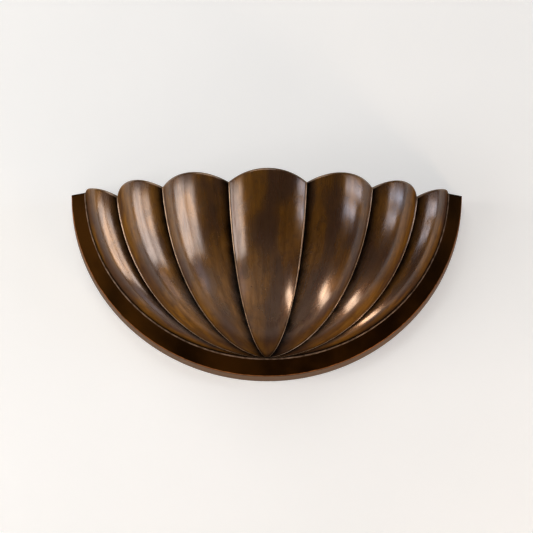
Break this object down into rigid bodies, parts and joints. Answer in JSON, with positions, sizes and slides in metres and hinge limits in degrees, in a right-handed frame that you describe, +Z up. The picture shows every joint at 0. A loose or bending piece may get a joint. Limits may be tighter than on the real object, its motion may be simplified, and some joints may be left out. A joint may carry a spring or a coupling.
{
  "type": "shell wall sconce",
  "caption": "Wall uplighter with a fluted half-shell bowl of antiqued bronze on a dark rim; it hangs on a hooked wall bracket and holds small screw-cap lamps.",
  "frame": {"origin": "midway between the wall bracket's two fixing holes, on the wall", "axes": "+X along the wall to the viewer's right, +Y into the wall, +Z up; the light stands out from the wall towards -Y"},
  "size_m": [0.3996, 0.1403, 0.188],
  "materials": {
    "aged_bronze": "antiqued, dark in the hollows and rubbed lighter on the crests",
    "painted_steel": "dark brown powder coat",
    "zinc_steel": "zinc plated",
    "brass_hardware": "plain turned brass",
    "phenolic": "moulded, black",
    "block_plastic": "moulded, off-white",
    "rubber": "matte black",
    "bulb_glass": "clear blown glass",
    "stem_glass": "clear drawn glass",
    "cap_metal": "rolled screw cap",
    "cap_insulator": "dark vitreous glass",
    "filament_coating": "yellow phosphor coating",
    "tinned_metal": "tinned, satin",
    "earth_insulation": "green with a yellow stripe",
    "lamp_insulation": "heat-resisting white sleeving"
  },
  "bodies": {
    "wall": {"wall_bracket": "zinc_steel"},
    "lock": {"lock_screw": "brass_hardware"},
    "lamp_left": {"lamp_tip_left": "tinned_metal", "lamp_insulator_left": "cap_insulator", "lamp_cap_left": "cap_metal", "lamp_glass_left": "bulb_glass", "lamp_stem_left": "stem_glass", "lamp_filaments_left": "filament_coating"},
    "lamp_right": {"lamp_tip_right": "tinned_metal", "lamp_insulator_right": "cap_insulator", "lamp_cap_right": "cap_metal", "lamp_glass_right": "bulb_glass", "lamp_stem_right": "stem_glass", "lamp_filaments_right": "filament_coating"},
    "fixture": {"rim_frame": "aged_bronze", "back_plate": "painted_steel", "back_plate_screws": "zinc_steel", "lock_nut": "zinc_steel", "bracket_rivets": "zinc_steel", "terminal_block": "block_plastic", "pole_screws": "zinc_steel", "cable_grommet": "rubber", "earth_stud": "brass_hardware", "earth_nut": "brass_hardware", "earth_ring": "tinned_metal", "earth_wire": "earth_insulation", "flute_right_outer": "aged_bronze", "flute_right_middle": "aged_bronze", "flute_right_inner": "aged_bronze", "flute_centre": "aged_bronze", "flute_left_inner": "aged_bronze", "flute_left_middle": "aged_bronze", "flute_left_outer": "aged_bronze", "lamp_bracket_left": "painted_steel", "lamp_bracket_right": "painted_steel", "lampholder_left": "phenolic", "lampholder_right": "phenolic", "contact_shell_left": "brass_hardware", "contact_shell_right": "brass_hardware", "centre_contact_left": "brass_hardware", "centre_contact_right": "brass_hardware", "nipple_left": "brass_hardware", "nipple_right": "brass_hardware", "nipple_nut_left": "brass_hardware", "nipple_nut_right": "brass_hardware", "lamp_wires_left": "lamp_insulation", "lamp_wires_right": "lamp_insulation"}
  },
  "joints": [
    {"name": "lift_off", "type": "slide", "parent": "wall", "child": "fixture", "axis": [0, 0, 1], "range_m": [0, 0.012]},
    {"name": "lock_screw_turn", "type": "hinge", "parent": "fixture", "child": "lock", "pos_m": [0, -0.01, -0.019], "axis": [0, -1, 0], "range_deg": [0, 720]},
    {"name": "lamp_left_turn", "type": "hinge", "parent": "fixture", "child": "lamp_left", "pos_m": [-0.072, -0.05, 0], "axis": [0, 0, 1], "range_deg": [0, 900]},
    {"name": "lamp_right_turn", "type": "hinge", "parent": "fixture", "child": "lamp_right", "pos_m": [0.072, -0.05, 0], "axis": [0, 0, 1], "range_deg": [0, 900]}
  ]
}
